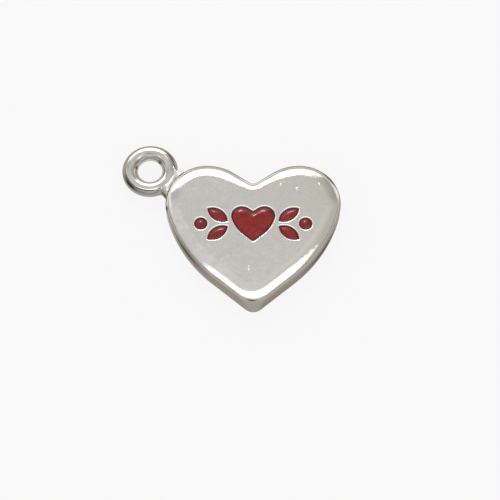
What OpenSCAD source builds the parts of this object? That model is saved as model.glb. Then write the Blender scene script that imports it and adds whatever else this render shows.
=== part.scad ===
// Heart charm: a plated pillow-edged heart with a hanging loop and a band of enamel in sunk cells.
// Millimetres. The charm lies on its back: +Z points out of the face, +Y runs from the tip to the lobes.
// The origin is on the back face, on the heart's axis, half way between the tip and the lobe tops.

/* [Heart outline] */
// Width across the two lobes
heart_width = 13; // [12:0.1:16]
// Height from the tip to the tops of the lobes
heart_height = 11.2; // [10.5:0.05:13]
// Radius of each lobe, from the hip to its top
lobe_radius = 3.05; // [2.6:0.05:3.4]
// Radius of the flatter brow, from the top of a lobe towards the cleft
brow_radius = 3.6; // [3.1:0.1:4.5]
// Rise of the straight lower flank, in degrees
flank_rise = 39.5; // [38:0.5:43]
// Radius of the hip between the straight flank and a lobe
hip_radius = 10.3; // [8:0.1:13]
// Radius of the tip at the back edge
tip_radius = 0.9; // [0.5:0.1:1.4]
// Radius of the tip where the shoulder starts, blunter than the back edge
crown_tip_radius = 1.5; // [1:0.1:3]
// Slope of the straight run from a brow down to the cleft, in degrees
cleft_slope = 33.5; // [28:0.5:40]
// Radius at the bottom of the cleft
cleft_radius = 0.4; // [0.2:0.05:0.8]

/* [Heart edge] */
// Thickness from the back to the face
body_thickness = 2.1; // [1.8:0.05:3]
// Width of the rounded shoulder, seen from above
shoulder_width = 1.1; // [0.8:0.05:1.4]
// Height of the rounded shoulder
shoulder_height = 0.65; // [0.4:0.05:0.9]
// Radius of the back edge
back_edge_radius = 0.2; // [0.1:0.05:0.3]

/* [Hanging loop] */
// Diameter of the hole in the loop
loop_hole = 1.85; // [1.2:0.05:2.6]
// Width of the ring's section
loop_width = 1.15; // [0.9:0.05:1.5]
// Thickness of the ring's section
loop_thickness = 1.1; // [0.9:0.05:1.4]
// Width of the low domed crest on the front and the back of the ring
loop_crest = 0.55; // [0.4:0.05:0.8]
// Rise of a crest's dome from its edges to its middle
crest_rise = 0.06; // [0.02:0.01:0.15]
// Straight length in the middle of the hole, where the drafted walls meet
loop_throat = 0.2; // [0.1:0.05:0.4]
// Height of the ring's middle plane above the back
loop_level = 0.9; // [0.7:0.05:1.2]
// Direction of the loop from the centre of its lobe, in degrees
loop_direction = 146; // [130:0.5:160]
// Gap between the ring and the rim of the heart, bridged by the neck
neck_length = 0.05; // [0.05:0.05:0.8]
// Radius of the fillets from the ring's crest to the rim of the heart
neck_fillet = 0.7; // [0.5:0.05:1]
// Thickness of the neck
neck_thickness = 0.9; // [0.6:0.05:1]

/* [Enamel] */
// Depth of the cells below the face
cell_depth = 0.6; // [0.4:0.05:0.9]
// How far the enamel stays below the face
enamel_sink = 0.1; // [0.05:0.01:0.2]
// Height of the motif's centre line above the origin
motif_rise = 0.65; // [0.3:0.05:1]
// Width of the small heart
small_heart_width = 3.2; // [2:0.1:3.4]
// Length of a leaf
leaf_length = 1.8; // [1.4:0.05:2]
// Width of a leaf
leaf_width = 0.9; // [0.5:0.05:1]
// Tilt of a leaf from the motif's centre line, in degrees
leaf_tilt = 35; // [32:1:45]
// Distance from the heart's axis to the point where a pair of leaves starts
sprig_start = 1.6; // [1.4:0.05:1.8]
// Gap between that point and the leaves
sprig_gap = 0.35; // [0.3:0.05:0.5]
// Diameter of a dot
dot_diameter = 0.95; // [0.5:0.05:1]
// Distance from the heart's axis to a dot
dot_offset = 3.85; // [3.7:0.05:4]

/* [Hidden] */
$fn = 64;

// Steps along each stretch of the outline and of the edge profile
tip_steps = 6;
hip_steps = 10;
lobe_steps = 22;
brow_steps = 7;
cleft_steps = 5;
edge_steps = 3;
wall_steps = 3;
shoulder_steps = 10;

// Overrun of a cut past the face that it opens
cut_over = 1;

// Sides and rows of the mirrored pieces
left = -1;
right = 1;
upper = 1;
lower = -1;

silver = [0.80, 0.79, 0.76];
red = [0.52, 0.10, 0.11];

// Centres of the arcs in the right half of the outline
tip_end = -heart_height / 2;
tip_centre = [0, tip_end + tip_radius];
lobe_centre = [heart_width / 2 - lobe_radius, heart_height / 2 - lobe_radius];
brow_centre = [lobe_centre[0], heart_height / 2 - brow_radius];
cleft_centre = [0, brow_centre[1]
    + (brow_radius + cleft_radius - brow_centre[0] * sin(cleft_slope)) / cos(cleft_slope)];

// The straight flank touches the tip: its outward and upward directions, and how far out it lies
flank_out = [sin(flank_rise), -cos(flank_rise)];
flank_up = [cos(flank_rise), sin(flank_rise)];
flank_turn = flank_rise - 90;
flank_offset = tip_centre * flank_out + tip_radius;

// The hip arc runs from the straight flank into the lobe
hip_out = flank_offset - hip_radius;
hip_reach = hip_radius - lobe_radius;
hip_drop = sqrt(pow(hip_reach, 2) - pow(lobe_centre * flank_out - hip_out, 2));
hip_centre = hip_out * flank_out + (lobe_centre * flank_up - hip_drop) * flank_up;
lobe_start = atan2(lobe_centre[1] - hip_centre[1], lobe_centre[0] - hip_centre[0]);

// Heights along the edge profile
wall_top = body_thickness - shoulder_height;
cell_floor = body_thickness - cell_depth;

// The loop stands off the rim of the left lobe
loop_rim = loop_hole / 2 + loop_width;
left_lobe_centre = [-lobe_centre[0], lobe_centre[1]];
loop_reach = lobe_radius + neck_length + loop_rim;
// Middle of the ring's section, where the neck ends
ring_middle = (loop_hole + loop_width) / 2;
// A fillet's circle touches the lobe and the edge of the ring's crest from outside
fillet_from_lobe = lobe_radius + neck_fillet;
fillet_from_ring = ring_middle + loop_crest / 2 + neck_fillet;
fillet_along = (pow(loop_reach, 2) + pow(fillet_from_lobe, 2) - pow(fillet_from_ring, 2)) / (2 * loop_reach);
fillet_across = sqrt(pow(fillet_from_lobe, 2) - pow(fillet_along, 2));

// A drafted wall of the ring runs from the end of the throat to the edge of the crest
throat_end = [loop_width / 2, loop_throat / 2];
crest_edge = [loop_crest / 2, loop_thickness / 2 - crest_rise];
// Radius of the dome that passes through both edges of a crest
dome_radius = (pow(crest_edge[0], 2) + pow(crest_rise, 2)) / (2 * crest_rise);

// Radius of the two arcs that bound a leaf
leaf_radius = (pow(leaf_length, 2) + pow(leaf_width, 2)) / (4 * leaf_width);

function polar(centre, radius, angle) = centre + radius * [cos(angle), sin(angle)];

// Points along an arc, without its last one
function arc(centre, radius, from, to, steps) =
    [for (i = [0 : steps - 1]) polar(centre, radius, from + (to - from) * i / steps)];

// Where a tip arc of a given radius sits against the flank of an inset outline
function tip_height(inset, radius) = (flank_offset - inset - radius) / flank_out[1];

// Right half of the outline, drawn in by an inset, from the tip up to the cleft
function half_outline(inset, radius) =
    let (tip = [0, tip_height(inset, radius)],
         top = 90,
         ramp = 90 + cleft_slope,
         cleft = cleft_radius + inset)
    concat(
        arc(tip, radius, -90, flank_turn, tip_steps),
        [polar(tip, radius, flank_turn)],
        arc(hip_centre, hip_radius - inset, flank_turn, lobe_start, hip_steps),
        arc(lobe_centre, lobe_radius - inset, lobe_start, top, lobe_steps),
        arc(brow_centre, brow_radius - inset, top, ramp, brow_steps),
        [polar(brow_centre, brow_radius - inset, ramp)],
        arc(cleft_centre, cleft, cleft_slope - 90, -90, cleft_steps),
        [polar(cleft_centre, cleft, -90)]);

// Whole outline, anticlockwise from the tip
function outline(inset, radius) =
    let (half = half_outline(inset, radius), last = len(half) - 1)
    concat(half, [for (i = [last - 1 : -1 : 1]) [-half[i][0], half[i][1]]]);

// Tip radius of the outline at a height on the side wall
function tip_at(z) =
    let (rise = (z - back_edge_radius) / (wall_top - back_edge_radius))
    tip_radius + (crown_tip_radius - tip_radius) * max(0, min(1, rise));

// Edge profile from the back to the face, as pairs of inset and height
edge_profile = concat(
    [for (i = [0 : edge_steps]) let (turn = 90 * i / edge_steps)
        [back_edge_radius * (1 - sin(turn)), back_edge_radius * (1 - cos(turn))]],
    [for (i = [1 : wall_steps])
        [0, back_edge_radius + (wall_top - back_edge_radius) * i / wall_steps]],
    [for (i = [1 : shoulder_steps]) let (turn = 90 * i / shoulder_steps)
        [shoulder_width * (1 - cos(turn)), wall_top + shoulder_height * sin(turn)]]);

// Solid lofted through the outline at each step of the edge profile
module pillow_heart() {
    rings = [for (step = edge_profile) outline(step[0], tip_at(step[1]))];
    around = len(rings[0]);
    top = len(rings) - 1;
    points = [for (k = [0 : top]) for (p = rings[k]) [p[0], p[1], edge_profile[k][1]]];
    sides = [for (k = [0 : top - 1]) for (i = [0 : around - 1])
        let (j = (i + 1) % around, low = k * around, high = low + around)
        each [[low + i, high + i, high + j], [low + i, high + j, low + j]]];
    back = [for (i = [0 : around - 1]) i];
    face = [for (i = [around - 1 : -1 : 0]) top * around + i];
    polyhedron(points, concat(sides, [back, face]), convexity = 4);
}

// Section of the ring: drafted walls from a short straight throat up to low domed crests
module ring_section() {
    half = [throat_end, crest_edge, [-crest_edge[0], crest_edge[1]], [-throat_end[0], throat_end[1]]];
    translate([ring_middle, 0]) {
        polygon(concat(half, -half));
        for (turn = [0, 180])
            rotate(turn)
                intersection() {
                    translate([0, loop_thickness / 2 - dome_radius])
                        circle(dome_radius);
                    translate([-crest_edge[0], 0])
                        square([loop_crest, loop_thickness]);
                }
    }
}

// Outline of the neck along +X from the lobe's centre, with a hollow foot that seats on the lobe's rim
module neck_outline() {
    difference() {
        polygon([[0, 0], [fillet_along, -fillet_across], [loop_reach, 0], [fillet_along, fillet_across]]);
        circle(lobe_radius);
        translate([loop_reach, 0])
            circle(ring_middle);
        for (side = [left, right])
            translate([fillet_along, side * fillet_across])
                circle(neck_fillet);
    }
}

// Outline of one motif cell, seen from above
module small_heart() {
    share = small_heart_width / heart_width;
    translate([0, motif_rise])
        polygon(share * outline(0, tip_radius));
}

module leaf(side, row) {
    reach = sprig_gap + leaf_length / 2;
    translate([side * (sprig_start + reach * cos(leaf_tilt)), motif_rise + row * reach * sin(leaf_tilt)])
        rotate(side * row * leaf_tilt)
            intersection_for (bow = [-1, 1])
                translate([0, bow * (leaf_radius - leaf_width / 2)])
                    circle(leaf_radius);
}

module dot(side) {
    translate([side * dot_offset, motif_rise])
        circle(d = dot_diameter);
}

// Room of a cell, open through the face
module cell() {
    translate([0, 0, cell_floor])
        linear_extrude(cell_depth + cut_over)
            children();
}

// Enamel that fills a cell wall to wall and stays just below the face
module fill() {
    translate([0, 0, cell_floor])
        linear_extrude(cell_depth - enamel_sink)
            children();
}

module heart_body() {
    color(silver)
        difference() {
            pillow_heart();
            cell() small_heart();
            for (side = [left, right]) {
                for (row = [upper, lower])
                    cell() leaf(side, row);
                cell() dot(side);
            }
        }
}

// Ring and neck in one piece
module hanging_loop() {
    color(silver)
        translate(concat(left_lobe_centre, loop_level))
            rotate(loop_direction) {
                translate([loop_reach, 0, 0])
                    rotate_extrude()
                        ring_section();
                linear_extrude(neck_thickness, center = true)
                    neck_outline();
            }
}

module enamel_heart() {
    color(red)
        fill() small_heart();
}

module enamel_leaf(side, row) {
    color(red)
        fill() leaf(side, row);
}

module enamel_dot(side) {
    color(red)
        fill() dot(side);
}

heart_body();
hanging_loop();
enamel_heart();
enamel_leaf(left, upper);  // enamel_leaf_upper_left
enamel_leaf(left, lower);  // enamel_leaf_lower_left
enamel_leaf(right, upper);  // enamel_leaf_upper_right
enamel_leaf(right, lower);  // enamel_leaf_lower_right
enamel_dot(left);  // enamel_dot_left
enamel_dot(right);  // enamel_dot_right
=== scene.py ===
"""Dresses a plated heart charm: its pillow-edged body, its hanging loop and its enamel fills.

The charm lies on its back on a pale floor. Pieces are modelled in millimetres and shrunk to metres at the
end, because the thresholds of the edit operators suit larger numbers than a charm has in metres.
"""

import logging
import math
from dataclasses import dataclass
from enum import Enum

import bmesh
import bpy
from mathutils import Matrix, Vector
from mathutils.kdtree import KDTree


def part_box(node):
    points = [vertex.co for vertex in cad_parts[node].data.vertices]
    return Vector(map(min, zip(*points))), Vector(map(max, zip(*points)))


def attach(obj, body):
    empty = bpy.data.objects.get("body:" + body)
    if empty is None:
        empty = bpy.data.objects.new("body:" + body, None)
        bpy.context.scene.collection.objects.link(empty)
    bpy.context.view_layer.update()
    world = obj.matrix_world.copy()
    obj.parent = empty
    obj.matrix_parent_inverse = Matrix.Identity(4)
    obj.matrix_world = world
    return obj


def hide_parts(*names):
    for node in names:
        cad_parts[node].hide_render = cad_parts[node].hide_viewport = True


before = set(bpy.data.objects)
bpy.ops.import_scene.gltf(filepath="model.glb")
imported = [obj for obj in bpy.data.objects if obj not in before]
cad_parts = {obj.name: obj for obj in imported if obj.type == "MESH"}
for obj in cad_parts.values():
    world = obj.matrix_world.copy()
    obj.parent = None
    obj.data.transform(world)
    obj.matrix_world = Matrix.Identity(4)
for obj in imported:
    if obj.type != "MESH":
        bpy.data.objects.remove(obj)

LOG = logging.getLogger("heart_charm")
# Metres in a millimetre
MM = 0.001
BODY = "root"
QUARTER_TURN = math.pi / 2
QUAD_CORNERS = 4
NOISE_LOW = 0.3
NOISE_HIGH = 0.7

Point2 = tuple[float, float]
Point3 = tuple[float, float, float]
Range = tuple[float, float]
Colour = tuple[float, float, float]
Inputs = dict[str | int, object]
Piece = bpy.types.Object
Material = bpy.types.Material
Socket = bpy.types.NodeSocket


class Side(Enum):
    """Side of the heart's axis, with its sign along X."""

    LEFT = -1
    RIGHT = 1


class Row(Enum):
    """Row of a leaf, with its sign along Y."""

    UPPER = 1
    LOWER = -1


class Slot(Enum):
    """Material slots of the record."""

    SILVER = "silver_plate"
    ENAMEL = "red_enamel"


# Bench tools


def deselect_all() -> None:
    """Leaves edit mode and clears the selection."""
    if bpy.context.object is not None and bpy.context.object.mode != "OBJECT":
        bpy.ops.object.mode_set(mode="OBJECT")
    bpy.ops.object.select_all(action="DESELECT")


def pick(piece: Piece) -> None:
    """Makes one piece the only selected and active object."""
    deselect_all()
    piece.select_set(True)
    bpy.context.view_layer.objects.active = piece


def point_finder(points: list[Point3]) -> KDTree:
    """Returns a tree that finds the nearest of some points."""
    finder = KDTree(len(points))
    for index, point in enumerate(points):
        finder.insert(point, index)
    finder.balance()
    return finder


def place_cap(piece: Piece, before: list[Point3], ring: list[Point3]) -> None:
    """Moves the selected cap of a piece in edit mode from one ring of points to the next.

    Args:
        piece: The object in edit mode, with only its cap selected.
        before: Points where the cap's corners lie now.
        ring: Points for the corners, in the same order.
    """
    finder = point_finder(before)
    mesh = bmesh.from_edit_mesh(piece.data)
    for vertex in [v for v in mesh.verts if v.select]:
        vertex.co = ring[finder.find(vertex.co)[1]]
    bmesh.update_edit_mesh(piece.data)


def loft(name: str, rings: list[list[Point3]]) -> Piece:
    """Raises a filled circle through rings of points by one extrusion for each ring.

    Args:
        name: Name of the new object.
        rings: Rings with the same number of points, from the first cap to the last.

    Returns:
        The closed object, left in edit mode with its last cap selected.
    """
    deselect_all()
    bpy.ops.mesh.primitive_circle_add(vertices=len(rings[0]), radius=1.0, fill_type="NGON")
    piece = bpy.context.object
    piece.name = name
    start = [tuple(v.co) for v in piece.data.vertices]
    bpy.ops.object.mode_set(mode="EDIT")
    bpy.ops.mesh.select_all(action="SELECT")
    place_cap(piece, start, rings[0])
    for before, ring in zip(rings, rings[1:]):
        bpy.ops.mesh.extrude_region()
        place_cap(piece, before, ring)
    return piece


def finish_mesh(piece: Piece, smooth_angle: float = math.radians(60)) -> None:
    """Closes the modelling of a piece: outward normals, metres, smooth shading weighted by face area.

    Args:
        piece: The object, modelled in millimetres.
        smooth_angle: Edges sharper than this stay sharp, in radians.
    """
    pick(piece)
    bpy.ops.object.mode_set(mode="EDIT")
    bpy.ops.mesh.select_all(action="SELECT")
    bpy.ops.mesh.normals_make_consistent(inside=False)
    bpy.ops.object.mode_set(mode="OBJECT")
    bpy.ops.transform.resize(value=(MM,) * 3, center_override=(0, 0, 0))
    bpy.ops.object.transform_apply(location=True, rotation=True, scale=True)
    bpy.ops.object.shade_smooth_by_angle(angle=smooth_angle)
    weights = piece.modifiers.new("weights", "WEIGHTED_NORMAL")
    weights.mode = "FACE_AREA"
    weights.keep_sharp = True
    bpy.ops.object.modifier_apply(modifier=weights.name)


def spots_of(piece: Piece) -> list[tuple[Vector, Vector]]:
    """Returns the place in millimetres and the normal of every vertex."""
    return [(v.co / MM, v.normal.copy()) for v in piece.data.vertices]


def hand_over(piece: Piece, node: str, slot: Slot, finish: Material, **paint: list[float]) -> None:
    """Paints a piece, gives it its finish and puts it in the place of its node.

    Args:
        piece: The finished mesh.
        node: The CAD node that it stands for.
        slot: The record's material slot; not used.
        finish: The material.
        paint: Attributes that the finish reads, one number for each vertex. Its mixes clamp at 1.
    """
    for name, values in paint.items():
        layer = piece.data.attributes.new(name, "FLOAT", "POINT")
        layer.data.foreach_set("value", values)
    piece.data.materials.append(finish)
    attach(piece, BODY)
    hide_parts(node)


def ramp(value: float, low: float, high: float) -> float:
    """Smooth step from 0 at low to 1 at high."""
    share = min(1.0, max(0.0, (value - low) / (high - low)))
    return share * share * (3.0 - 2.0 * share)


@dataclass(frozen=True)
class RimMark:
    """A soft mark of painted shade or highlight on a rim, placed by the way it faces in degrees and its
    height in millimetres.
    """

    facing: float
    reach: float
    height: float
    spread: float
    strength: float

    def at(self, spot: Vector, normal: Vector) -> float:
        """Returns how strong the mark is at a spot in millimetres."""
        turn = math.degrees(math.atan2(normal.y, normal.x)) - self.facing
        aside = ((turn + 180.0) % 360.0 - 180.0) / self.reach
        above = (spot.z - self.height) / self.spread
        return self.strength * math.exp(-(aside**2) - above**2)


@dataclass(frozen=True)
class ShadeSpot:
    """A small spot of painted shade, with its place and reach in millimetres."""

    place: Point3
    reach: float
    strength: float = 1.0

    def at(self, spot: Vector) -> float:
        """Returns how strong the painted shade is at a spot in millimetres."""
        away = (spot - Vector(self.place)).length / self.reach
        return self.strength * math.exp(-(away**2))


def polar(centre: Point2, radius: float, angle: float) -> Point2:
    """Point at a radius and angle from a centre."""
    return (centre[0] + radius * math.cos(angle), centre[1] + radius * math.sin(angle))


def arc(centre: Point2, radius: float, start: float, stop: float, steps: int) -> list[Point2]:
    """Points along an arc, without its last one."""
    return [polar(centre, radius, start + (stop - start) * i / steps) for i in range(steps)]


def run(start: Point2, stop: Point2, steps: int) -> list[Point2]:
    """Points along a straight run, without its last one."""
    return [tuple(Vector(start).lerp(Vector(stop), i / steps)) for i in range(steps)]


def opaque(colour: Colour) -> tuple[float, ...]:
    """Adds a full alpha to a colour."""
    return (*colour, 1.0)


def quarter_turns(steps: int) -> list[float]:
    """Angles from nothing to a quarter turn, both included."""
    return [QUARTER_TURN * i / steps for i in range(steps + 1)]


def at_height(ring: list[Point2], z: float) -> list[Point3]:
    """Lifts a flat ring of points to a height."""
    return [(x, y, z) for x, y in ring]


# Finishes


class NodeBoard:
    """The nodes of a material or a world, with short ways to add them."""

    def __init__(self, owner: Material | bpy.types.World) -> None:
        """Starts an empty board."""
        owner.use_nodes = True
        self.tree = owner.node_tree
        self.tree.nodes.clear()

    def add(self, kind: str, inputs: Inputs, **settings: object) -> bpy.types.Node:
        """Adds a node, sets its properties and then fills its inputs.

        Args:
            kind: Type of the node.
            inputs: A value, or a socket to link, for each input by its name or number.
            settings: Properties of the node.

        Returns:
            The new node.
        """
        node = self.tree.nodes.new(kind)
        for key, value in settings.items():
            setattr(node, key, value)
        for key, value in inputs.items():
            if isinstance(value, Socket):
                self.tree.links.new(value, node.inputs[key])
            else:
                node.inputs[key].default_value = value
        return node

    def maths(self, operation: str, *values: Socket | float) -> Socket:
        """Adds an operation on sockets and plain numbers."""
        return self.add("ShaderNodeMath", dict(enumerate(values)), operation=operation).outputs["Value"]

    def step(self, value: Socket, edge: float, softness: float) -> Socket:
        """Adds a smooth step across an edge. A negative softness steps down."""
        inputs = {"Value": value, "From Min": edge - softness, "From Max": edge + softness}
        return self.add("ShaderNodeMapRange", inputs, interpolation_type="SMOOTHSTEP").outputs["Result"]

    def noise(self, place: Socket, size_mm: float, detail: float, crispness: float = 0.5) -> Socket:
        """Adds a noise with features of a size in millimetres. Crispness is the share of fine detail."""
        scale = 1.0 / (size_mm * MM)
        inputs = {"Vector": place, "Scale": scale, "Detail": detail, "Roughness": crispness}
        return self.add("ShaderNodeTexNoise", inputs).outputs["Fac"]

    def spread(self, source: Socket, low: float, high: float) -> Socket:
        """Maps the middle of a noise onto a range of numbers."""
        inputs = {"Value": source, "From Min": NOISE_LOW, "From Max": NOISE_HIGH}
        inputs |= {"To Min": low, "To Max": high}
        return self.add("ShaderNodeMapRange", inputs).outputs["Result"]

    def mix_colour(self, share: Socket, first: Socket | Colour, second: Colour) -> Socket:
        """Blends from a first colour, or a socket that gives it, to a second by a share."""
        start = opaque(first) if isinstance(first, tuple) else first
        inputs = {"Factor": share, "A": start, "B": opaque(second)}
        return self.add("ShaderNodeMix", inputs, data_type="RGBA").outputs["Result"]

    def mix_number(self, share: Socket, first: Socket, second: float) -> Socket:
        """Blends from a socket's number to a second number by a share."""
        inputs = {"Factor": share, "A": first, "B": second}
        return self.add("ShaderNodeMix", inputs, data_type="FLOAT").outputs["Result"]

    def bump(self, height: Socket, height_mm: float, normal: Socket | None = None) -> Socket:
        """Adds a bump of a height in millimetres, on top of an earlier one if there is one."""
        inputs = {"Height": height, "Distance": height_mm * MM}
        if normal is not None:
            inputs["Normal"] = normal
        return self.add("ShaderNodeBump", inputs).outputs["Normal"]

    def attribute(self, name: str) -> Socket:
        """Reads a painted attribute."""
        return self.add("ShaderNodeAttribute", {}, attribute_name=name).outputs["Fac"]

    def place(self, kind: str) -> Socket:
        """Reads a kind of texture coordinates."""
        return self.add("ShaderNodeTexCoord", {}).outputs[kind]

    def split(self, vector: Socket) -> list[Socket]:
        """Returns the X, Y and Z parts of a vector."""
        return list(self.add("ShaderNodeSeparateXYZ", {"Vector": vector}).outputs)


@dataclass(frozen=True)
class SilverPlate:
    """Bright plated silver over a casting, with painted shade on the wall and rubbed bright lips."""

    bright: Colour = (0.99, 0.97, 0.935)
    clouded: Colour = (0.81, 0.785, 0.735)
    # A painted warm reflection towards the right lobe.
    warm_reflection: Colour = (0.91, 0.875, 0.775)
    # Painted shade where the walls mirror the floor.
    dull: Colour = (0.40, 0.37, 0.325)
    # Painted dark shade in thin lines and spots.
    grime: Colour = (0.055, 0.047, 0.04)
    rubbed: Colour = (0.97, 0.965, 0.95)
    grazing: Colour = (0.60, 0.555, 0.505)
    warm_reflection_middle_mm: float = 2.5
    warm_reflection_reach_mm: float = 4.5
    smoothest: float = 0.07
    roughest: float = 0.13
    lip_roughness: float = 0.42
    # Roughness under the painted dark shade.
    painted_shade_roughness: float = 0.55
    cloud_mm: float = 0.6
    cloud_detail: float = 5.0
    cloud_crispness: float = 0.75
    wave_mm: float = 0.55
    wave_detail: float = 1.0
    wave_height_mm: float = 0.0085
    grain_mm: float = 0.1
    grain_detail: float = 2.0
    grain_height_mm: float = 0.0018
    speck_places_mm: tuple[Point3, ...] = (
        (3.24, 3.46, 0.11), (2.06, 3.79, 0.09), (4.92, 3.83, 0.09), (-0.31, -2.78, 0.07),
        (-0.31, -3.02, 0.08), (-3.4, 3.2, 0.05), (0.35, -3.3, 0.04), (-1.5, -1.9, 0.04),
    )
    speck_height_mm: float = 0.03

    def make(self) -> Material:
        """Returns the plating as a material that reads the painted shade and lip attributes."""
        material = bpy.data.materials.new("silver_plate")
        board = NodeBoard(material)
        place = board.place("Object")
        cloud = board.noise(place, self.cloud_mm, self.cloud_detail, self.cloud_crispness)
        lip = board.attribute("lip")
        grime = board.attribute("grime")
        colour = board.mix_colour(board.spread(cloud, 0.0, 1.0), self.bright, self.clouded)
        # Painted warm reflection towards the right.
        colour = board.mix_colour(self.warm_reflection_share(board, place), colour, self.warm_reflection)
        # Painted shade on the walls.
        colour = board.mix_colour(board.attribute("dull"), colour, self.dull)
        # Painted dark shade.
        colour = board.mix_colour(grime, colour, self.grime)
        colour = board.mix_colour(lip, colour, self.rubbed)
        roughness = board.spread(cloud, self.smoothest, self.roughest)
        # Rougher under the painted dark shade.
        roughness = board.mix_number(grime, roughness, self.painted_shade_roughness)
        roughness = board.mix_number(lip, roughness, self.lip_roughness)
        normal = board.bump(board.noise(place, self.wave_mm, self.wave_detail), self.wave_height_mm)
        grain = board.noise(place, self.grain_mm, self.grain_detail)
        normal = board.bump(grain, self.grain_height_mm, normal)
        normal = board.bump(self.specks(board, place), self.speck_height_mm, normal)
        inputs = {"Base Color": colour, "Metallic": 1.0, "Roughness": roughness, "Normal": normal}
        inputs["Specular Tint"] = opaque(self.grazing)
        shader = board.add("ShaderNodeBsdfPrincipled", inputs)
        board.add("ShaderNodeOutputMaterial", {"Surface": shader.outputs["BSDF"]})
        return material

    def warm_reflection_share(self, board: NodeBoard, place: Socket) -> Socket:
        """Adds the share of a painted warm reflection, which grows towards the right lobe."""
        middle = self.warm_reflection_middle_mm * MM
        return board.step(board.split(place)[0], middle, self.warm_reflection_reach_mm * MM)

    def specks(self, board: NodeBoard, place: Socket) -> Socket:
        """Adds the height of a few tiny pimples in the plating of the face."""
        flat = board.add("ShaderNodeVectorMath", {0: place, 1: (1.0, 1.0, 0.0)}, operation="MULTIPLY")
        height: Socket | None = None
        for x, y, radius in self.speck_places_mm:
            ends = {0: flat.outputs["Vector"], 1: (x * MM, y * MM, 0.0)}
            away = board.add("ShaderNodeVectorMath", ends, operation="DISTANCE")
            half = radius / 2 * MM
            dome = board.step(away.outputs["Value"], half, -half)
            height = dome if height is None else board.maths("MAXIMUM", height, dome)
        return height


@dataclass(frozen=True)
class RedEnamel:
    """Glossy deep red enamel, with painted shade at the edge of its cell."""

    body: Colour = (0.21, 0.011, 0.012)
    streak: Colour = (0.28, 0.027, 0.025)
    # Painted shade where the enamel meets the wall of its cell.
    edge: Colour = (0.05, 0.003, 0.004)
    roughness: float = 0.08
    specular: float = 0.35
    streak_mm: float = 0.35
    streak_detail: float = 2.0
    wave_height_mm: float = 0.006

    def make(self) -> Material:
        """Returns the enamel as a material that reads the painted edge shade attribute."""
        material = bpy.data.materials.new("red_enamel")
        board = NodeBoard(material)
        flow = board.noise(board.place("Object"), self.streak_mm, self.streak_detail)
        colour = board.mix_colour(board.spread(flow, 0.0, 1.0), self.body, self.streak)
        # Painted shade at the cell's edge.
        colour = board.mix_colour(board.attribute("edge"), colour, self.edge)
        inputs = {"Base Color": colour, "Normal": board.bump(flow, self.wave_height_mm)}
        inputs |= {"Roughness": self.roughness, "Specular IOR Level": self.specular}
        shader = board.add("ShaderNodeBsdfPrincipled", inputs)
        board.add("ShaderNodeOutputMaterial", {"Surface": shader.outputs["BSDF"]})
        return material


@dataclass(frozen=True)
class PaleFloor:
    """Plain pale floor. Part of its white is its own, so that the charm's shadow stays faint."""

    pale: Colour = (0.91, 0.91, 0.91)
    own_white: float = 0.95
    own_share: float = 0.92

    def make(self) -> Material:
        """Returns the floor's material."""
        material = bpy.data.materials.new("pale_floor")
        board = NodeBoard(material)
        paper = board.add("ShaderNodeBsdfDiffuse", {"Color": opaque(self.pale)})
        white = board.add("ShaderNodeEmission", {"Strength": self.own_white})
        rays = board.add("ShaderNodeLightPath", {}).outputs
        seen = board.maths("MAXIMUM", rays["Is Camera Ray"], rays["Is Glossy Ray"])
        seen = board.maths("MAXIMUM", seen, rays["Is Transmission Ray"])
        inputs = {"Fac": board.maths("MULTIPLY", seen, self.own_share)}
        inputs |= {1: paper.outputs["BSDF"], 2: white.outputs["Emission"]}
        mix = board.add("ShaderNodeMixShader", inputs)
        board.add("ShaderNodeOutputMaterial", {"Surface": mix.outputs["Shader"]})
        return material


# Sub-assemblies


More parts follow.
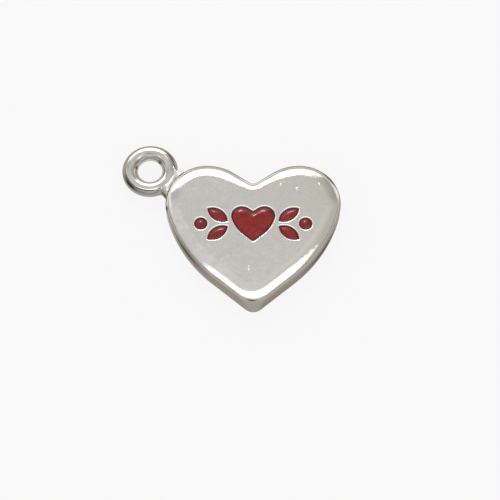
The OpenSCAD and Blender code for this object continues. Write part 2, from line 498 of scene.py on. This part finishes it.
@dataclass
class HeartOutline:
    """Outline of the heart, made of tangent arcs and straight runs, in millimetres."""

    width: float
    height: float
    lobe_radius: float = 3.05
    brow_radius: float = 3.6
    flank_rise: float = math.radians(39.5)
    hip_radius: float = 10.3
    tip_radius: float = 0.9
    cleft_slope: float = math.radians(33.5)
    cleft_radius: float = 0.4
    cleft_least: float = 0.06
    tip_steps: int = 14
    flank_steps: int = 16
    hip_steps: int = 36
    lobe_steps: int = 54
    brow_steps: int = 20
    ramp_steps: int = 10
    cleft_steps: int = 12

    def __post_init__(self) -> None:
        """Works out the straight flank and the centres of the arcs in the right half."""
        tip = Vector((0.0, self.tip_radius - self.height / 2))
        lobe = Vector((self.width / 2 - self.lobe_radius, self.height / 2 - self.lobe_radius))
        out = Vector((math.sin(self.flank_rise), -math.cos(self.flank_rise)))
        along = Vector((math.cos(self.flank_rise), math.sin(self.flank_rise)))
        self.flank_turn = self.flank_rise - QUARTER_TURN
        self.flank_offset = tip.dot(out) + self.tip_radius
        hip_out = self.flank_offset - self.hip_radius
        hip_reach = self.hip_radius - self.lobe_radius
        hip_drop = math.sqrt(hip_reach**2 - (lobe.dot(out) - hip_out) ** 2)
        hip = hip_out * out + (lobe.dot(along) - hip_drop) * along
        brow_y = self.height / 2 - self.brow_radius
        cleft_reach = self.brow_radius + self.cleft_radius - lobe.x * math.sin(self.cleft_slope)
        self.lobe_centre: Point2 = (lobe.x, lobe.y)
        self.brow_centre: Point2 = (lobe.x, brow_y)
        self.hip_centre: Point2 = (hip.x, hip.y)
        self.cleft_height = brow_y + cleft_reach / math.cos(self.cleft_slope)
        self.lobe_start = math.atan2(lobe.y - hip.y, lobe.x - hip.x)

    def ring(self, inset: float, tip_radius: float) -> list[Point2]:
        """Returns the outline, anticlockwise from the tip.

        Args:
            inset: How far the outline is drawn in.
            tip_radius: Radius of the tip at this inset.

        Returns:
            The points of the closed outline.
        """
        tip: Point2 = (0.0, (inset + tip_radius - self.flank_offset) / math.cos(self.flank_rise))
        ramp_turn = QUARTER_TURN + self.cleft_slope
        cleft_turn = self.cleft_slope - QUARTER_TURN
        hip = self.hip_radius - inset
        lobe = self.lobe_radius - inset
        brow = self.brow_radius - inset
        # The cleft keeps a small radius where the outline is moved out past its own
        cleft = max(self.cleft_least, self.cleft_radius + inset)
        lift = (cleft - self.cleft_radius - inset) / math.cos(self.cleft_slope)
        cleft_centre: Point2 = (0.0, self.cleft_height + lift)
        flank_start = polar(tip, tip_radius, self.flank_turn)
        flank_stop = polar(self.hip_centre, hip, self.flank_turn)
        ramp_start = polar(self.brow_centre, brow, ramp_turn)
        ramp_stop = polar(cleft_centre, cleft, cleft_turn)
        half = [
            *arc(tip, tip_radius, -QUARTER_TURN, self.flank_turn, self.tip_steps),
            *run(flank_start, flank_stop, self.flank_steps),
            *arc(self.hip_centre, hip, self.flank_turn, self.lobe_start, self.hip_steps),
            *arc(self.lobe_centre, lobe, self.lobe_start, QUARTER_TURN, self.lobe_steps),
            *arc(self.brow_centre, brow, QUARTER_TURN, ramp_turn, self.brow_steps),
            *run(ramp_start, ramp_stop, self.ramp_steps),
            *arc(cleft_centre, cleft, cleft_turn, -QUARTER_TURN, self.cleft_steps),
            polar(cleft_centre, cleft, -QUARTER_TURN),
        ]
        return half + [(-x, y) for x, y in half[-2:0:-1]]


@dataclass
class Cell:
    """A sunk cell in the face and the enamel node that fills it, in millimetres."""

    node: str
    face_z: float
    lip: float = 0.1
    lip_flat: float = 0.02
    depth: float = 0.6
    seat_gap: float = 0.004
    rim_sink: float = 0.16
    crown_sink: float = 0.07
    crown_width: float = 0.5
    crown_share: float = 0.92
    # Share of the crown's rise that carries painted shade at the edge.
    dark_share: float = 0.7
    lip_steps: int = 6
    crown_steps: int = 10

    def ring(self, offset: float) -> list[Point2]:
        """Outline of the cell, moved out by an offset."""
        raise NotImplementedError

    def half_width(self) -> float:
        """Distance from the outline to the middle of the cell."""
        raise NotImplementedError

    def make_room(self) -> Piece:
        """Returns the cell's rounded lip, wall and floor, open at the lip."""
        rings = [at_height(self.ring(self.lip + self.lip_flat), self.face_z)]
        for turn in quarter_turns(self.lip_steps):
            drop = self.lip * (1 - math.cos(turn))
            rings.append(at_height(self.ring(self.lip * (1 - math.sin(turn))), self.face_z - drop))
        rings.append(at_height(self.ring(0.0), self.face_z - self.depth))
        room = loft(self.node + "_room", rings)
        mesh = bmesh.from_edit_mesh(room.data)
        bpy.ops.mesh.select_all(action="DESELECT")
        for cap in [face for face in mesh.faces if len(face.verts) > QUAD_CORNERS]:
            cap.select_set(cap.calc_center_median().z > self.face_z - self.lip)
        bmesh.update_edit_mesh(room.data)
        bpy.ops.mesh.delete(type="ONLY_FACE")
        return room

    def make_fill(self, finish: Material) -> Piece:
        """Builds the enamel with a low crown and dresses it.

        Args:
            finish: The enamel's material.

        Returns:
            The finished piece.
        """
        rings = [at_height(self.ring(-self.seat_gap), self.face_z - self.depth)]
        reach = min(self.crown_width, self.crown_share * self.half_width())
        for step in range(self.crown_steps + 1):
            share = step / self.crown_steps
            rise = (self.rim_sink - self.crown_sink) * (1 - (1 - share) ** 2)
            crown = self.ring(-self.seat_gap - reach * share)
            rings.append(at_height(crown, self.face_z - self.rim_sink + rise))
        piece = loft(self.node + "_fill", rings)
        finish_mesh(piece)
        # Painted shade along the enamel's low edge, fading up the crown.
        low = (self.face_z - self.rim_sink) * MM
        high = low + self.dark_share * (self.rim_sink - self.crown_sink) * MM
        edge = [1.0 - ramp(vertex.co.z, low, high) for vertex in piece.data.vertices]
        hand_over(piece, self.node, Slot.ENAMEL, finish, edge=edge)
        return piece


@dataclass(kw_only=True)
class SmallHeartCell(Cell):
    """The heart in the middle of the motif, a small copy of the charm's own outline."""

    outline: HeartOutline
    share: float
    rise: float
    least_tip: float = 0.25

    def ring(self, offset: float) -> list[Point2]:
        """Outline of the small heart, moved out by an offset."""
        inset = -offset / self.share
        full_tip = self.outline.tip_radius
        tip = max(self.least_tip * full_tip, full_tip - inset)
        return [(self.share * x, self.rise + self.share * y) for x, y in self.outline.ring(inset, tip)]

    def half_width(self) -> float:
        """Distance from the outline to the middle of a lobe."""
        return self.share * self.outline.lobe_radius


@dataclass(kw_only=True)
class LeafCell(Cell):
    """A pointed leaf between two arcs."""

    centre: Point2
    turn: float
    length: float
    width: float
    steps: int = 28

    def ring(self, offset: float) -> list[Point2]:
        """Outline of the leaf, moved out by an offset."""
        radius = (self.length**2 + self.width**2) / (4 * self.width)
        drop = radius - self.width / 2
        spread = math.acos(min(1.0, drop / (radius + offset)))
        start, stop = QUARTER_TURN - spread, QUARTER_TURN + spread
        upper = arc((0.0, -drop), radius + offset, start, stop, self.steps)
        lower = [(-x, -y) for x, y in upper]
        cos, sin = math.cos(self.turn), math.sin(self.turn)
        return [
            (self.centre[0] + x * cos - y * sin, self.centre[1] + x * sin + y * cos)
            for x, y in upper + lower
        ]

    def half_width(self) -> float:
        """Half of the leaf's width."""
        return self.width / 2


@dataclass(kw_only=True)
class DotCell(Cell):
    """A round dot."""

    centre: Point2
    diameter: float
    steps: int = 64

    def ring(self, offset: float) -> list[Point2]:
        """Outline of the dot, moved out by an offset."""
        return arc(self.centre, self.diameter / 2 + offset, 0.0, 2 * math.pi, self.steps)

    def half_width(self) -> float:
        """Radius of the dot."""
        return self.diameter / 2


@dataclass
class Motif:
    """The band of cells: a small heart between two pairs of leaves and two dots, in millimetres."""

    outline: HeartOutline
    face_z: float
    rise: float = 0.65
    small_heart_width: float = 3.2
    leaf_length: float = 1.8
    leaf_width: float = 0.9
    leaf_tilt: float = math.radians(35)
    sprig_start: float = 1.6
    sprig_gap: float = 0.35
    dot_diameter: float = 0.95
    dot_offset: float = 3.85

    def cells(self) -> list[Cell]:
        """Returns every cell of the motif, named as the node that fills it."""
        share = self.small_heart_width / self.outline.width
        made: list[Cell] = [
            SmallHeartCell("enamel_heart", self.face_z, outline=self.outline, share=share, rise=self.rise)
        ]
        for side in Side:
            made.extend(self.leaf(side, row) for row in Row)
            made.append(self.dot(side))
        return made

    def leaf(self, side: Side, row: Row) -> LeafCell:
        """Returns the leaf on one side and row."""
        reach = self.sprig_gap + self.leaf_length / 2
        x = side.value * (self.sprig_start + reach * math.cos(self.leaf_tilt))
        y = self.rise + row.value * reach * math.sin(self.leaf_tilt)
        node = f"enamel_leaf_{row.name.lower()}_{side.name.lower()}"
        turn = side.value * row.value * self.leaf_tilt
        return LeafCell(
            node, self.face_z, centre=(x, y), turn=turn, length=self.leaf_length, width=self.leaf_width
        )

    def dot(self, side: Side) -> DotCell:
        """Returns the dot on one side."""
        node = f"enamel_dot_{side.name.lower()}"
        centre = (side.value * self.dot_offset, self.rise)
        return DotCell(node, self.face_z, centre=centre, diameter=self.dot_diameter)


@dataclass
class HeartBody:
    """The casting: a flat back, a side wall, a rounded shoulder and a flat face with sunk cells."""

    outline: HeartOutline
    thickness: float
    cells: list[Cell]
    node: str = "heart_body"
    shoulder_width: float = 1.1
    shoulder_height: float = 0.65
    back_edge: float = 0.2
    crown_tip_radius: float = 1.5
    face_margin: float = 0.04
    # Marks of painted dark shade on the walls and shoulders.
    shade_marks: tuple[RimMark, ...] = (
        RimMark(-31.0, 15.0, 0.8, 0.45, 0.88),
        RimMark(-52.0, 9.0, 0.6, 0.25, 0.3),
        RimMark(215.0, 10.0, 1.33, 0.36, 1.0),
        RimMark(178.0, 9.0, 0.35, 0.45, 0.9),
        RimMark(190.0, 3.5, 1.57, 0.16, 1.6),
        RimMark(-94.0, 16.0, 1.72, 0.07, 0.95),
        RimMark(38.0, 13.0, 1.74, 0.15, 1.0),
    )
    # Painted highlights, which lift the painted shade off thin strips of the rim.
    painted_highlights: tuple[RimMark, ...] = (
        RimMark(17.0, 11.0, 1.6, 1.0, 0.17),
        RimMark(142.0, 20.0, 1.6, 1.0, 0.2),
        RimMark(169.0, 13.0, 1.6, 0.4, 0.28),
    )
    # Painted shade falls on normals that lean away from this axis, where the walls mirror the floor near
    # the charm.
    lit_axis: Point3 = (0.0, -0.2, 1.0)
    lit_range: Range = (0.66, 0.76)
    lip_margin: float = 1.1
    face_slack: float = 0.0001
    # A painted highlight in the cleft, which lifts the painted shade there.
    cleft_highlight: float = 0.2
    cleft_tightness: float = 0.33
    cleft_middle: float = 0.3
    cleft_reach: float = 1.25
    smooth_angle: float = math.radians(50)
    edge_steps: int = 6
    wall_steps: int = 8
    shoulder_steps: int = 26

    def __post_init__(self) -> None:
        """Works out where the side wall ends."""
        self.wall_top = self.thickness - self.shoulder_height

    def edge_profile(self) -> list[Point2]:
        """Returns pairs of inset and height from the back to the face."""
        pairs: list[Point2] = []
        for turn in quarter_turns(self.edge_steps):
            pairs.append((self.back_edge * (1 - math.sin(turn)), self.back_edge * (1 - math.cos(turn))))
        for i in range(1, self.wall_steps + 1):
            pairs.append((0.0, self.back_edge + (self.wall_top - self.back_edge) * i / self.wall_steps))
        for turn in quarter_turns(self.shoulder_steps)[1:]:
            inset = self.shoulder_width * (1 - math.cos(turn))
            pairs.append((inset, self.wall_top + self.shoulder_height * math.sin(turn)))
        pairs.append((self.shoulder_width + self.face_margin, self.thickness))
        return pairs

    def tip_at(self, z: float) -> float:
        """Tip radius of the outline at a height: it grows blunter up the side wall."""
        rise = min(1.0, max(0.0, (z - self.back_edge) / (self.wall_top - self.back_edge)))
        return self.outline.tip_radius + (self.crown_tip_radius - self.outline.tip_radius) * rise

    def rim(self, inset: float, tip_radius: float) -> list[Point2]:
        """Outline drawn in by an inset, and by less in the cleft, where the shoulder is tighter."""
        points: list[Point2] = []
        for base, drawn in zip(self.outline.ring(0.0, tip_radius), self.outline.ring(inset, tip_radius)):
            share = 1.0
            if base[1] > 0.0:
                aside = (base[0] - self.cleft_middle) / self.cleft_reach
                share -= self.cleft_tightness * math.exp(-(aside**2))
            points.append(tuple(Vector(base).lerp(Vector(drawn), share)))
        return points

    def build(self) -> Piece:
        """Lofts the body, lets the cells into its face and returns the mesh in metres."""
        rings = [at_height(self.rim(inset, self.tip_at(z)), z) for inset, z in self.edge_profile()]
        body = loft("heart_casting", rings)
        bpy.ops.mesh.delete(type="ONLY_FACE")
        rooms = [cell.make_room() for cell in self.cells]
        pick(body)
        for room in rooms:
            room.select_set(True)
        bpy.ops.object.join()
        bpy.ops.object.mode_set(mode="EDIT")
        bpy.ops.mesh.select_mode(type="EDGE")
        bpy.ops.mesh.select_all(action="DESELECT")
        bpy.ops.mesh.select_non_manifold(
            extend=False, use_wire=False, use_boundary=True,
            use_multi_face=False, use_non_contiguous=False, use_verts=False,
        )
        bpy.ops.mesh.fill(use_beauty=True)
        bpy.ops.mesh.select_mode(type="VERT")
        finish_mesh(body, self.smooth_angle)
        return body

    def polished(self, spot: Vector, normal: Vector) -> float:
        """Share of a spot left free of painted shade: where its normal leans to an axis above and a
        little in front.
        """
        # Painted highlights lift the painted shade.
        highlight = sum(mark.at(spot, normal) for mark in self.painted_highlights)
        if spot.y > 0.0:
            highlight += self.cleft_highlight * math.exp(-(spot.x**2))
        return ramp(normal.dot(Vector(self.lit_axis)) + highlight, *self.lit_range)

    def dress(self, body: Piece, finish: Material) -> None:
        """Paints shade on the wall and rims, paints the lips, and gives the body its plating."""
        finder = point_finder([p for cell in self.cells for p in at_height(cell.ring(0.0), 0.0)])
        lip_reach = self.lip_margin * max(cell.lip for cell in self.cells)
        lip: list[float] = []
        spots = spots_of(body)
        for spot, _ in spots:
            near = finder.find((spot.x, spot.y, 0.0))[2] < lip_reach
            sunk = self.wall_top < spot.z < self.thickness - self.face_slack
            lip.append(1.0 if near and sunk else 0.0)
        # Painted dark shade in lines and spots.
        grime = [max(mark.at(*spot) for mark in self.shade_marks) for spot in spots]
        # Painted shade where the wall mirrors the floor.
        dull = [1.0 - self.polished(*spot) for spot in spots]
        hand_over(body, self.node, Slot.SILVER, finish, dull=dull, grime=grime, lip=lip)


@dataclass
class HangingLoop:
    """The ring with its neck, which runs out onto the rim of the left lobe, in millimetres.

    Ranges are of a normal's upward part: they say where on the section a mark begins or ends.
    """

    outline: HeartOutline
    hole: float = 1.85
    section_width: float = 1.15
    section_thickness: float = 1.1
    crest: float = 0.55
    crest_rise: float = 0.06
    crest_shares: tuple[float, ...] = (0.8, 0.45)
    throat: float = 0.2
    throat_swell: float = 1.03
    wall_swell: float = 1.05
    edge_swell: float = 1.17
    edge_drop: float = 0.9
    level: float = 0.9
    direction: float = math.radians(146)
    neck_length: float = 0.05
    neck_fillet: float = 0.7
    neck_spread: float = math.radians(40)
    foot_sink: float = 0.06
    waist_place: float = 1.1
    waist_lift: float = 0.21
    waist_lean: float = 0.85
    foot_lift: float = 0.34
    # The next four numbers set the ring's painted shade: its least amount, its share inside the hole, and
    # the lean and range past which none is painted.
    least_dim_shade: float = 0.2
    inside_dim_shade: float = 0.6
    lit_lean: float = 0.3
    lit_range: Range = (0.79, 0.86)
    crest_range: Range = (0.82, 0.87)
    line_range: Range = (0.675, 0.705)
    line_turn: float = 1.7
    # The next marks are painted dark shade on the crest's edges and near the neck.
    patch_range: Range = (0.45, 0.55)
    shade_patches: tuple[RimMark, ...] = (
        RimMark(221.0, 25.0, 1.22, 0.13, 1.2),
        RimMark(30.0, 20.0, 1.35, 0.1, 0.95),
    )
    far_shade_patch: RimMark = RimMark(272.0, 30.0, 1.3, 1.0, 0.7)
    far_start: Range = (0.7, 0.8)
    far_end: Range = (0.95, 0.99)
    # Spots of painted dark shade at the neck and on the hole's wall.
    shade_spots: tuple[ShadeSpot, ...] = (
        ShadeSpot((-6.74, 3.48, 1.17), 0.14),
        ShadeSpot((-6.54, 3.33, 1.15), 0.2),
        ShadeSpot((-6.98, 3.79, 1.39), 0.09),
        ShadeSpot((-7.02, 6.1, 1.08), 0.17),
        ShadeSpot((-8.74, 5.62, 1.16), 0.12),
        ShadeSpot((-6.67, 3.83, 1.42), 0.28, 0.68),
    )
    major_steps: int = 36
    levels: int = 2
    node: str = "hanging_loop"

    def __post_init__(self) -> None:
        """Works out the ring's place and where its fillets touch."""
        lobe = self.outline.lobe_radius
        self.middle = (self.hole + self.section_width) / 2
        self.rim = self.hole / 2 + self.section_width
        self.reach = lobe + self.neck_length + self.rim
        from_ring = self.middle + self.crest / 2 + self.neck_fillet
        from_lobe = lobe + self.neck_fillet
        along = (self.reach**2 + from_ring**2 - from_lobe**2) / (2 * self.reach)
        across = math.sqrt(from_ring**2 - along**2)
        self.waist_half = across - self.neck_fillet
        self.foot_half = across * lobe / from_lobe

    def centre(self) -> Vector:
        """Returns the middle of the hole."""
        lobe = (-self.outline.lobe_centre[0], self.outline.lobe_centre[1])
        x, y = polar(lobe, self.reach, self.direction)
        return Vector((x, y, self.level))

    def section(self) -> list[Point2]:
        """Returns the cage of the ring's section: drafted walls, a low domed crest and a short throat."""
        width = self.section_width / 2
        height = self.section_thickness / 2
        crest = self.crest / 2
        dome = (crest**2 + self.crest_rise**2) / (2 * self.crest_rise)
        edge = height - self.crest_rise
        wall = Vector((width, self.throat / 2)).lerp(Vector((crest, edge)), 0.5)
        quarter: list[Point2] = [
            (self.throat_swell * width, self.throat / 2),
            (self.wall_swell * wall.x, self.wall_swell * wall.y),
            (self.edge_swell * crest, self.edge_drop * edge),
            (crest, edge),
        ]
        for out in [share * crest for share in self.crest_shares]:
            quarter.append((out, height - dome + math.sqrt(dome**2 - out**2)))
        upper = [*quarter, (0.0, height), *[(-x, z) for x, z in reversed(quarter)]]
        return upper + [(-x, -z) for x, z in upper]

    def build(self) -> Piece:
        """Draws the neck out of a ring, smooths both and returns the mesh in metres."""
        deselect_all()
        section = self.section()
        # A subdivided ring shrinks inside its cage, so the cage is larger
        swell = 3 / (2 + math.cos(2 * math.pi / self.major_steps))
        bpy.ops.mesh.primitive_torus_add(
            major_segments=self.major_steps, minor_segments=len(section),
            major_radius=self.middle, minor_radius=self.section_width / 2,
        )
        loop = bpy.context.object
        loop.name = "loop_ring"
        bpy.ops.object.mode_set(mode="EDIT")
        mesh = bmesh.from_edit_mesh(loop.data)
        for vertex in mesh.verts:
            reach = math.hypot(vertex.co.x, vertex.co.y)
            turn = math.atan2(vertex.co.z, reach - self.middle) / (2 * math.pi)
            out, up = section[round(turn * len(section)) % len(section)]
            share = swell * (self.middle + out) / reach
            vertex.co = (vertex.co.x * share, vertex.co.y * share, up)
        bmesh.update_edit_mesh(loop.data)
        self.draw_neck(loop)
        bpy.ops.object.mode_set(mode="OBJECT")
        smoother = loop.modifiers.new("smoother", "SUBSURF")
        smoother.levels = smoother.render_levels = self.levels
        bpy.ops.object.modifier_apply(modifier=smoother.name)
        loop.rotation_euler.z = self.direction + math.pi
        loop.location = self.centre()
        bpy.ops.object.transform_apply(location=True, rotation=True, scale=True)
        finish_mesh(loop)
        return loop

    def draw_neck(self, loop: Piece) -> None:
        """Extrudes the side of the ring that faces the lobe, in to a waist and out to a foot on the rim.

        Args:
            loop: The ring in edit mode, with the lobe along its own +X.
        """
        bpy.ops.mesh.select_mode(type="FACE")
        bpy.ops.mesh.select_all(action="DESELECT")
        mesh = bmesh.from_edit_mesh(loop.data)
        inner = self.middle + self.crest / 2
        for face in mesh.faces:
            spot = face.calc_center_median()
            aside = abs(math.atan2(spot.y, spot.x))
            face.select_set(aside < self.neck_spread and math.hypot(spot.x, spot.y) > inner)
        bmesh.update_edit_mesh(loop.data)
        lobe = self.outline.lobe_radius
        waist = (self.waist_half, self.waist_place, self.waist_lift, self.waist_lean)
        foot = (self.foot_half, 0.0, self.foot_lift, 0.0)
        for half, ring_share, lift, lean in (waist, foot):
            bpy.ops.mesh.extrude_region()
            mesh = bmesh.from_edit_mesh(loop.data)
            moved = [v for v in mesh.verts if v.select]
            widest = max(abs(v.co.y) for v in moved)
            for vertex in moved:
                y = vertex.co.y * half / widest
                at_ring = math.sqrt(self.rim**2 - y**2)
                at_lobe = self.reach - math.sqrt((lobe - self.foot_sink) ** 2 - y**2)
                x = at_lobe + (at_ring - at_lobe) * ring_share
                rise = lift * (1.0 + lean * y / half) * max(0.0, vertex.co.z)
                vertex.co = (x, y, vertex.co.z + rise)
            bmesh.update_edit_mesh(loop.data)

    def outside(self, spot: Vector, normal: Vector) -> bool:
        """Whether a spot faces away from the hole."""
        return (spot - self.centre()).xy.dot(normal.xy) > 0.0

    def dim_shade_at(self, spot: Vector, normal: Vector) -> float:
        """How much painted shade the ring gets: most on outer walls that don't face the front."""
        dull = 1.0 - ramp(normal.z - self.lit_lean * normal.y, *self.lit_range)
        return max(self.least_dim_shade, dull if self.outside(spot, normal) else self.inside_dim_shade * dull)

    def crest_shade(self, spot: Vector, normal: Vector) -> float:
        """How much painted dark shade the crest's edges get: a thin line in front, broad patches, and
        small spots.
        """
        spot_shade = max(mark.at(spot) for mark in self.shade_spots)
        if not self.outside(spot, normal):
            edge = ramp(normal.z, *self.far_start) * (1.0 - ramp(normal.z, *self.far_end))
            return max(edge * self.far_shade_patch.at(spot, normal), spot_shade)
        front = min(1.0, max(0.0, -self.line_turn * normal.y))
        line = ramp(normal.z, *self.line_range) * front
        patch_shade = max(mark.at(spot, normal) for mark in self.shade_patches)
        broad = ramp(normal.z, *self.patch_range) * patch_shade
        return max(max(line, broad) * (1.0 - ramp(normal.z, *self.crest_range)), spot_shade)

    def dress(self, loop: Piece, finish: Material) -> None:
        """Paints shade on the flanks and the crest's edges of the ring and gives it the plating."""
        spots = spots_of(loop)
        # Painted shade on the flanks.
        dull = [self.dim_shade_at(*spot) for spot in spots]
        # Painted dark shade along the crest's edges.
        grime = [self.crest_shade(*spot) for spot in spots]
        lip = [0.0] * len(spots)
        hand_over(loop, self.node, Slot.SILVER, finish, dull=dull, grime=grime, lip=lip)


# Surroundings


@dataclass
class Tent:
    """Light tent in the world, whose brightness depends only on the direction.

    It is bright in front and behind, grey across its top, darker to the right and near the floor. A small
    lamp shines through its back. Edges are parts of a direction of length 1. Pairs are an edge and its
    softness, or for a rise, the slopes to the left and to the right.
    """

    bright: float = 1.5
    grey: float = 0.585
    grey_least: float = 0.47
    grey_most: float = 0.65
    grey_fall: float = 1.4
    grey_middle: float = 0.39
    right_loss: float = 0.26
    right_fade: Range = (0.42, 0.4)
    front_edge: float = -0.13
    front_rise: Range = (0.14, 0.27)
    front_shelf: float = 0.28
    front_shelf_fall: float = 0.35
    front_low: float = -0.72
    front_low_rise: float = 0.22
    front_left: float = -0.38
    front_left_lean: float = 0.96
    front_right: float = 0.77
    back_edge: float = 0.47
    back_rise: Range = (-0.35, 1.2)
    back_shelf: float = 0.13
    back_shelf_rise: float = 0.6
    left_edge: float = -0.74
    left_share: float = 0.45
    left_fade: Range = (0.28, 0.25)
    softness: float = 0.04
    low_edge: float = 0.32
    low_front: float = 0.37
    low_back: float = 0.51
    low_fade: Range = (0.3, 0.3)
    corner: float = 0.45
    corner_side: Range = (0.5, 0.15)
    corner_back: Range = (0.52, 0.12)
    lamp: float = 12.0
    lamp_place: Point2 = (-0.05, 0.63)
    lamp_size: float = 0.075
    lamp_softness: float = 0.3

    def __post_init__(self) -> None:
        """Adds the world and splits the direction that it is seen in."""
        bpy.context.scene.world = bpy.data.worlds.new("light_tent")
        self.board = NodeBoard(bpy.context.scene.world)
        self.x, self.y, self.z = self.board.split(self.board.place("Generated"))

    def light(self) -> None:
        """Lays the panels over the roof, the low wall under them and the lamp on top."""
        maths = self.board.maths
        grey = self.roof()
        panels = maths("MAXIMUM", self.front_panel(), self.back_panel())
        panels = maths("MAXIMUM", panels, self.left_panel())
        lit = maths("ADD", maths("MULTIPLY", panels, maths("SUBTRACT", self.bright, grey)), grey)
        low = self.low_wall()
        high = self.board.step(self.z, self.low_edge, self.softness)
        lit = maths("ADD", maths("MULTIPLY", high, maths("SUBTRACT", lit, low)), low)
        lit = maths("MULTIPLY_ADD", self.lamp_spot(), self.lamp, lit)
        inputs = {"Color": (1.0, 1.0, 1.0, 1.0), "Strength": lit}
        background = self.board.add("ShaderNodeBackground", inputs)
        self.board.add("ShaderNodeOutputWorld", {"Surface": background.outputs["Background"]})

    def roof(self) -> Socket:
        """Returns the grey of the roof, which falls off to the back and to the right."""
        maths = self.board.maths
        start = self.grey + self.grey_fall * self.grey_middle
        grey = maths("MULTIPLY_ADD", self.y, -self.grey_fall, start)
        grey = maths("MAXIMUM", maths("MINIMUM", grey, self.grey_most), self.grey_least)
        right = self.board.step(self.x, *self.right_fade)
        return maths("MULTIPLY", grey, maths("MULTIPLY_ADD", right, -self.right_loss, 1.0))

    def slope(self, left: float, right: float) -> Socket:
        """Returns a line that changes by one slope to the left of the middle and another to the right."""
        maths = self.board.maths
        on_left = maths("MULTIPLY", maths("MINIMUM", self.x, 0.0), left)
        return maths("MULTIPLY_ADD", maths("MAXIMUM", self.x, 0.0), right, on_left)

    def front_panel(self) -> Socket:
        """Returns where the front of the tent is bright."""
        maths, step = self.board.maths, self.board.step
        shelf = maths("MULTIPLY_ADD", self.x, -self.front_shelf_fall, self.front_shelf)
        tilt = maths("MINIMUM", self.slope(*self.front_rise), shelf)
        reach = step(maths("SUBTRACT", self.y, tilt), self.front_edge, -self.softness)
        arch = self.slope(-self.front_low_rise, self.front_low_rise)
        above = step(maths("SUBTRACT", self.y, arch), self.front_low, self.softness)
        slant = maths("MULTIPLY_ADD", self.y, -self.front_left_lean, self.x)
        left = step(slant, self.front_left, self.softness)
        right = step(self.x, self.front_right, -self.softness)
        return maths("MULTIPLY", maths("MULTIPLY", reach, above), maths("MULTIPLY", left, right))

    def back_panel(self) -> Socket:
        """Returns where the back of the tent is bright. Its edge rises to both sides."""
        maths = self.board.maths
        steep = self.slope(*self.back_rise)
        shelf = maths("ADD", self.slope(0.0, self.back_shelf_rise), self.back_shelf)
        beyond = maths("SUBTRACT", self.y, maths("MINIMUM", steep, shelf))
        return self.board.step(beyond, self.back_edge, self.softness)

    def left_panel(self) -> Socket:
        """Returns where the left side of the tent is bright: it fades to the front."""
        fade = self.board.step(self.y, *self.left_fade)
        share = self.board.maths("MULTIPLY", fade, self.left_share)
        side = self.board.step(self.x, self.left_edge, -self.softness)
        return self.board.maths("MULTIPLY", side, share)

    def low_wall(self) -> Socket:
        """Returns the grey of the tent near the floor: darkest in front, lighter in both back corners."""
        maths, step = self.board.maths, self.board.step
        low = step(self.y, *self.low_fade)
        low = maths("MULTIPLY_ADD", low, self.low_back - self.low_front, self.low_front)
        side = step(maths("ABSOLUTE", self.x), *self.corner_side)
        back = step(self.y, *self.corner_back)
        return maths("MULTIPLY_ADD", maths("MULTIPLY", side, back), self.corner, low)

    def lamp_spot(self) -> Socket:
        """Returns the small round spot of the lamp."""
        maths = self.board.maths
        across = maths("SUBTRACT", self.x, self.lamp_place[0])
        along = maths("SUBTRACT", self.y, self.lamp_place[1])
        away = maths("ADD", maths("MULTIPLY", across, across), maths("MULTIPLY", along, along))
        size = self.lamp_size**2
        return self.board.step(away, size, -self.lamp_softness * size)


@dataclass
class Studio:
    """Floor and camera."""

    floor_size: float = 2.0
    floor_drop: float = 0.00001
    elevation: float = math.radians(67)
    lens: float = 120.0
    sensor: float = 36.0
    clip_start: float = 0.005
    picture_mm: float = 37.12
    aim_mm: Point3 = (-0.2346, -0.5917, 0.0)

    def lay_floor(self) -> None:
        """Lays the floor under the charm."""
        deselect_all()
        bpy.ops.mesh.primitive_plane_add(size=self.floor_size, location=(0, 0, -self.floor_drop))
        floor = bpy.context.object
        floor.name = "floor"
        floor.data.materials.append(PaleFloor().make())

    def aim_camera(self) -> None:
        """Puts the camera at the photograph's viewing angle and framing."""
        data = bpy.data.cameras.new("camera")
        data.lens = self.lens
        data.sensor_width = self.sensor
        data.clip_start = self.clip_start
        camera = bpy.data.objects.new("camera", data)
        bpy.context.scene.collection.objects.link(camera)
        distance = self.lens / self.sensor * self.picture_mm * MM
        back = Vector((0.0, -math.cos(self.elevation), math.sin(self.elevation)))
        camera.location = Vector(self.aim_mm) * MM + distance * back
        camera.rotation_euler = (QUARTER_TURN - self.elevation, 0.0, 0.0)
        bpy.context.scene.camera = camera


def log_piece(piece: Piece) -> None:
    """Reports a finished piece."""
    LOG.info("%s has %d faces", piece.name, len(piece.data.polygons))


def main() -> None:
    """Builds the charm, its studio and the camera."""
    logging.basicConfig(level=logging.INFO, format="%(name)s: %(message)s")
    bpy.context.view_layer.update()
    bpy.context.scene.view_settings.view_transform = "Standard"
    studio = Studio()
    studio.aim_camera()
    Tent().light()
    studio.lay_floor()
    silver = SilverPlate().make()
    enamel = RedEnamel().make()
    low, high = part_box("heart_body")
    size = (high - low) / MM
    outline = HeartOutline(width=size.x, height=size.y)
    cells = Motif(outline, face_z=size.z).cells()
    casting = HeartBody(outline, thickness=size.z, cells=cells)
    body = casting.build()
    casting.dress(body, silver)
    log_piece(body)
    hanger = HangingLoop(outline)
    loop = hanger.build()
    hanger.dress(loop, silver)
    log_piece(loop)
    for cell in cells:
        log_piece(cell.make_fill(enamel))


if __name__ == "__main__":
    main()
